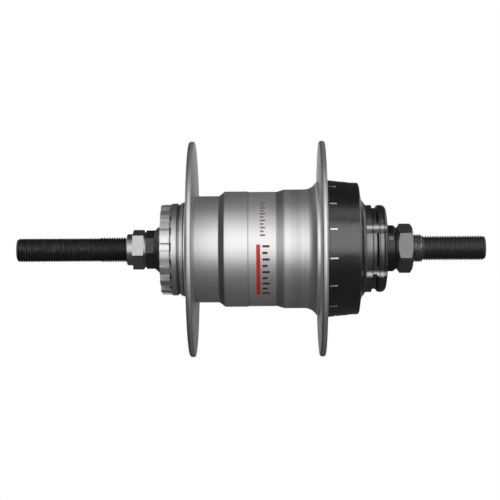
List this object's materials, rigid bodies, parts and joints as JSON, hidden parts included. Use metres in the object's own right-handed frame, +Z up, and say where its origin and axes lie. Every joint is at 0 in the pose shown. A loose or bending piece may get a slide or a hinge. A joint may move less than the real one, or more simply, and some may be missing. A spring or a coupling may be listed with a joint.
{
  "type": "bicycle hub gear",
  "caption": "Internally geared rear bicycle hub: threaded axle, flanged shell, brake splines, driver with sprocket seat, planetary gear train, ratchets and sliding clutch.",
  "frame": {"origin": "middle of the axle's length, on the axle's axis", "axes": "+Y along the axle towards the brake side, so the sprocket side is -Y; +Z up, +X the way the bicycle goes"},
  "size_m": [0.084, 0.1828, 0.084],
  "materials": {
    "axle_steel": "near-black oiled thread",
    "bright_steel": "bright zinc",
    "black_steel": "black oxide, semi-gloss",
    "dark_nut": "dark oxide with worn grey faces",
    "spring_steel": "drawn wire",
    "shell_alloy": "turned and polished, bright flange rims",
    "spline_steel": "satin",
    "race_steel": "ground",
    "seal_rubber": "matt",
    "black_plastic": "semi-gloss black",
    "label_film": null,
    "driver_steel": "dark oxide",
    "grey_seal": "matt grey",
    "gear_steel": "hardened, oiled",
    "pawl_steel": "hardened",
    "planet_steel": "hardened, oiled",
    "ball_steel": "polished",
    "retainer_steel": "pressed sheet"
  },
  "bodies": {
    "axle": {"axle": "axle_steel", "left_lock_nut": "bright_steel", "left_lock_washer": "bright_steel", "left_cone": "black_steel", "right_lock_nut": "dark_nut", "right_lock_washer": "black_steel", "right_cone": "black_steel", "clutch_spring": "spring_steel"},
    "shell": {"hub_shell": "shell_alloy", "left_flange": "shell_alloy", "brake_spline_ring": "spline_steel", "left_ball_cup": "race_steel", "left_seal": "seal_rubber", "low_gear_ratchet": "race_steel", "right_ball_cup": "race_steel", "right_dust_cap": "black_plastic", "label_band": "label_film"},
    "driver": {"driver": "driver_steel", "driver_seal": "grey_seal", "driver_dust_cap": "black_plastic"},
    "clutch": {"clutch": "gear_steel"},
    "push_rod": {"push_rod": "bright_steel", "axle_key": "gear_steel"},
    "ring_gear": {"ring_gear": "gear_steel", "ring_pawl_pins": "bright_steel", "ring_pawl_spring": "spring_steel"},
    "ring_pawl_1": {"ring_pawl_1": "pawl_steel"},
    "ring_pawl_2": {"ring_pawl_2": "pawl_steel"},
    "carrier": {"planet_carrier": "gear_steel", "planet_pins": "bright_steel", "carrier_pawl_pins": "bright_steel", "carrier_pawl_spring": "spring_steel"},
    "carrier_pawl_1": {"carrier_pawl_1": "pawl_steel"},
    "carrier_pawl_2": {"carrier_pawl_2": "pawl_steel"},
    "planet_1": {"planet_gear_1": "planet_steel"},
    "planet_2": {"planet_gear_2": "planet_steel"},
    "planet_3": {"planet_gear_3": "planet_steel"},
    "planet_4": {"planet_gear_4": "planet_steel"},
    "left_bearing": {"left_balls": "ball_steel", "left_ball_retainer": "retainer_steel"},
    "right_bearing": {"right_balls": "ball_steel", "right_ball_retainer": "retainer_steel"},
    "driver_bearing": {"driver_balls": "ball_steel", "driver_ball_retainer": "retainer_steel"}
  },
  "joints": [
    {"name": "shell_spin", "type": "hinge", "parent": "axle", "child": "shell", "pos_m": [0, 0, 0], "axis": [0, 1, 0], "continuous": true},
    {"name": "driver_spin", "type": "hinge", "parent": "axle", "child": "driver", "pos_m": [0, -0.03, 0], "axis": [0, 1, 0], "continuous": true},
    {"name": "carrier_spin", "type": "hinge", "parent": "axle", "child": "carrier", "pos_m": [0, 0.015, 0], "axis": [0, 1, 0], "continuous": true},
    {"name": "ring_gear_spin", "type": "hinge", "parent": "axle", "child": "ring_gear", "pos_m": [0, -0.01, 0], "axis": [0, 1, 0], "continuous": true},
    {"name": "planet_1_spin", "type": "hinge", "parent": "carrier", "child": "planet_1", "pos_m": [0.01125, 0.00165, 0], "axis": [0, 1, 0], "continuous": true},
    {"name": "planet_2_spin", "type": "hinge", "parent": "carrier", "child": "planet_2", "pos_m": [0, 0.00165, 0.01125], "axis": [0, 1, 0], "continuous": true},
    {"name": "planet_3_spin", "type": "hinge", "parent": "carrier", "child": "planet_3", "pos_m": [-0.01125, 0.00165, 0], "axis": [0, 1, 0], "continuous": true},
    {"name": "planet_4_spin", "type": "hinge", "parent": "carrier", "child": "planet_4", "pos_m": [0, 0.00165, -0.01125], "axis": [0, 1, 0], "continuous": true},
    {"name": "left_bearing_spin", "type": "hinge", "parent": "axle", "child": "left_bearing", "pos_m": [0, 0.03, 0], "axis": [0, 1, 0], "continuous": true},
    {"name": "right_bearing_spin", "type": "hinge", "parent": "axle", "child": "right_bearing", "pos_m": [0, -0.036, 0], "axis": [0, 1, 0], "continuous": true},
    {"name": "driver_bearing_spin", "type": "hinge", "parent": "axle", "child": "driver_bearing", "pos_m": [0, -0.0475, 0], "axis": [0, 1, 0], "continuous": true},
    {"name": "push_rod_slide", "type": "slide", "parent": "axle", "child": "push_rod", "axis": [0, 1, 0], "range_m": [0, 0.005], "stiffness_N_per_m": 400, "springref_m": -0.005},
    {"name": "clutch_slide", "type": "slide", "parent": "driver", "child": "clutch", "axis": [0, 1, 0], "range_m": [0, 0.005], "deforming": ["clutch_spring"]},
    {"name": "ring_pawl_1_pivot", "type": "hinge", "parent": "ring_gear", "child": "ring_pawl_1", "pos_m": [0.0137, -0.0235, 0.00807], "axis": [0, -1, 0], "range_deg": [0, 9.6]},
    {"name": "ring_pawl_2_pivot", "type": "hinge", "parent": "ring_gear", "child": "ring_pawl_2", "pos_m": [-0.0137, -0.0235, -0.00807], "axis": [0, -1, 0], "range_deg": [0, 9.6]},
    {"name": "carrier_pawl_1_pivot", "type": "hinge", "parent": "carrier", "child": "carrier_pawl_1", "pos_m": [0.01148, 0.01755, 0.0061], "axis": [0, -1, 0], "range_deg": [-9, 0], "stiffness_Nm_per_rad": 0.002, "springref_deg": 17.19},
    {"name": "carrier_pawl_2_pivot", "type": "hinge", "parent": "carrier", "child": "carrier_pawl_2", "pos_m": [-0.01148, 0.01755, -0.0061], "axis": [0, -1, 0], "range_deg": [-9, 0], "stiffness_Nm_per_rad": 0.002, "springref_deg": 17.19}
  ],
  "couplings": [
    {"joint": "driver_spin", "follows": "shell_spin", "ratio": 1.3636},
    {"joint": "carrier_spin", "follows": "shell_spin", "ratio": 1},
    {"joint": "ring_gear_spin", "follows": "shell_spin", "ratio": 1.3636},
    {"joint": "planet_1_spin", "follows": "shell_spin", "ratio": 1.1429},
    {"joint": "planet_2_spin", "follows": "shell_spin", "ratio": 1.1429},
    {"joint": "planet_3_spin", "follows": "shell_spin", "ratio": 1.1429},
    {"joint": "planet_4_spin", "follows": "shell_spin", "ratio": 1.1429},
    {"joint": "left_bearing_spin", "follows": "shell_spin", "ratio": 0.6},
    {"joint": "right_bearing_spin", "follows": "shell_spin", "ratio": 1.16},
    {"joint": "driver_bearing_spin", "follows": "shell_spin", "ratio": 0.79},
    {"joint": "clutch_slide", "follows": "push_rod_slide", "ratio": 1},
    {"joint": "ring_pawl_1_pivot", "follows": "push_rod_slide", "rad_per_m": 33.161},
    {"joint": "ring_pawl_2_pivot", "follows": "push_rod_slide", "rad_per_m": 33.161}
  ]
}
